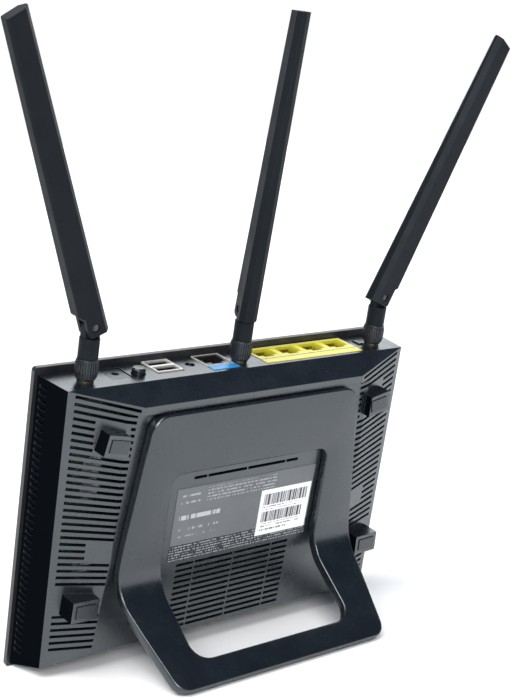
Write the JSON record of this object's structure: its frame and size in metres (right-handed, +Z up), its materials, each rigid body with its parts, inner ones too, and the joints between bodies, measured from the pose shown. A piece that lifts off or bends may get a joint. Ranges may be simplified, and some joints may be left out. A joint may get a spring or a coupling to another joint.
{
  "type": "wireless router",
  "caption": "Desktop wireless router leaning back on a bent stand, with swivelling folding antennas, network, USB and power sockets on its top edge.",
  "frame": {"origin": "middle of the flat on the front cover's lower edge, where the router stands on the table", "axes": "+Z up from the table, +Y from the router's front to its back and stand, +X to the right as seen from the front"},
  "size_m": [0.2903, 0.0987, 0.2996],
  "materials": {
    "gloss_black": "polished",
    "light_guide": "clear moulded",
    "black_shell": "fine texture",
    "foot_rubber": "matte",
    "stand_black": "satin",
    "label_grey": "printed film",
    "sticker_white": "paper",
    "circuit_board": "solder mask",
    "screw_steel": "plated",
    "screw_black": "blackened",
    "heatsink_aluminium": "extruded",
    "tinned_steel": "tinned",
    "chip_black": "moulded",
    "port_yellow": "moulded",
    "gilt": "gilt",
    "port_black": "moulded",
    "marker_blue": "printed film",
    "button_black": "satin",
    "socket_brass": "turned",
    "washer_black": "blackened",
    "collar_black": "knurled",
    "antenna_black": "fine texture"
  },
  "bodies": {
    "housing": {"front_cover": "gloss_black", "light_guide": "light_guide", "rear_shell": "black_shell", "foot_pads": "foot_rubber", "stand": "stand_black", "rating_label": "label_grey", "barcode_sticker": "sticker_white", "main_board": "circuit_board", "board_screws": "screw_steel", "soc_heatsink": "heatsink_aluminium", "rf_shields": "tinned_steel", "board_chips": "chip_black", "capacitors": "heatsink_aluminium", "line_transformers": "chip_black", "lan_shield": "tinned_steel", "lan_block": "port_yellow", "lan_contacts": "gilt", "lan_marker": "port_yellow", "wan_shield": "tinned_steel", "wan_block": "port_black", "wan_contacts": "gilt", "wan_marker": "marker_blue", "usb_shell": "tinned_steel", "usb_tongues": "port_black", "power_inlet": "port_black", "power_inlet_pin": "tinned_steel", "power_switch": "port_black", "tact_switches": "tinned_steel", "antenna_sockets": "socket_brass", "socket_washers": "washer_black", "antenna_leads": "port_black"},
    "power_button_body": {"power_button": "button_black"},
    "reset_button_body": {"reset_button": "button_black"},
    "wps_button_body": {"wps_button": "button_black"},
    "left_collar_body": {"left_antenna_collar": "collar_black"},
    "left_barrel_body": {"left_antenna_barrel": "antenna_black"},
    "left_blade_body": {"left_antenna_blade": "antenna_black", "left_antenna_element": "socket_brass", "left_antenna_screw": "screw_black"},
    "middle_collar_body": {"middle_antenna_collar": "collar_black"},
    "middle_barrel_body": {"middle_antenna_barrel": "antenna_black"},
    "middle_blade_body": {"middle_antenna_blade": "antenna_black", "middle_antenna_element": "socket_brass", "middle_antenna_screw": "screw_black"},
    "right_collar_body": {"right_antenna_collar": "collar_black"},
    "right_barrel_body": {"right_antenna_barrel": "antenna_black"},
    "right_blade_body": {"right_antenna_blade": "antenna_black", "right_antenna_element": "socket_brass", "right_antenna_screw": "screw_black"}
  },
  "joints": [
    {"name": "power_press", "type": "slide", "parent": "housing", "child": "power_button_body", "axis": [0, -0.1994, -0.9799], "range_m": [0, 0.002], "stiffness_N_per_m": 400},
    {"name": "reset_press", "type": "slide", "parent": "housing", "child": "reset_button_body", "axis": [0, -0.1994, -0.9799], "range_m": [0, 0.0005], "stiffness_N_per_m": 600},
    {"name": "wps_press", "type": "slide", "parent": "housing", "child": "wps_button_body", "axis": [0, -0.1994, -0.9799], "range_m": [0, 0.0005], "stiffness_N_per_m": 600},
    {"name": "left_collar_spin", "type": "hinge", "parent": "housing", "child": "left_collar_body", "pos_m": [0.0858, 0.04423, 0.14624], "axis": [0, 0.1994, 0.9799], "continuous": true},
    {"name": "left_antenna_swivel", "type": "hinge", "parent": "housing", "child": "left_barrel_body", "pos_m": [0.0858, 0.04642, 0.15702], "axis": [0, 0.1994, 0.9799], "range_deg": [-90, 270]},
    {"name": "left_antenna_fold", "type": "hinge", "parent": "left_barrel_body", "child": "left_blade_body", "pos_m": [0.0858, 0.04799, 0.16476], "axis": [0, 0.9799, -0.1994], "range_deg": [-29, 69]},
    {"name": "middle_collar_spin", "type": "hinge", "parent": "housing", "child": "middle_collar_body", "pos_m": [0, 0.04423, 0.14624], "axis": [0, 0.1994, 0.9799], "continuous": true},
    {"name": "middle_antenna_swivel", "type": "hinge", "parent": "housing", "child": "middle_barrel_body", "pos_m": [0, 0.04642, 0.15702], "axis": [0, 0.1994, 0.9799], "range_deg": [-338, 22]},
    {"name": "middle_antenna_fold", "type": "hinge", "parent": "middle_barrel_body", "child": "middle_blade_body", "pos_m": [0, 0.04799, 0.16476], "axis": [0.9272, -0.3671, 0.0747], "range_deg": [-1.2, 96.8]},
    {"name": "right_collar_spin", "type": "hinge", "parent": "housing", "child": "right_collar_body", "pos_m": [-0.0858, 0.04423, 0.14624], "axis": [0, 0.1994, 0.9799], "continuous": true},
    {"name": "right_antenna_swivel", "type": "hinge", "parent": "housing", "child": "right_barrel_body", "pos_m": [-0.0858, 0.04642, 0.15702], "axis": [0, 0.1994, 0.9799], "range_deg": [-273, 87]},
    {"name": "right_antenna_fold", "type": "hinge", "parent": "right_barrel_body", "child": "right_blade_body", "pos_m": [-0.0858, 0.04799, 0.16476], "axis": [0.0523, -0.9786, 0.1991], "range_deg": [-32.6, 65.4]}
  ]
}
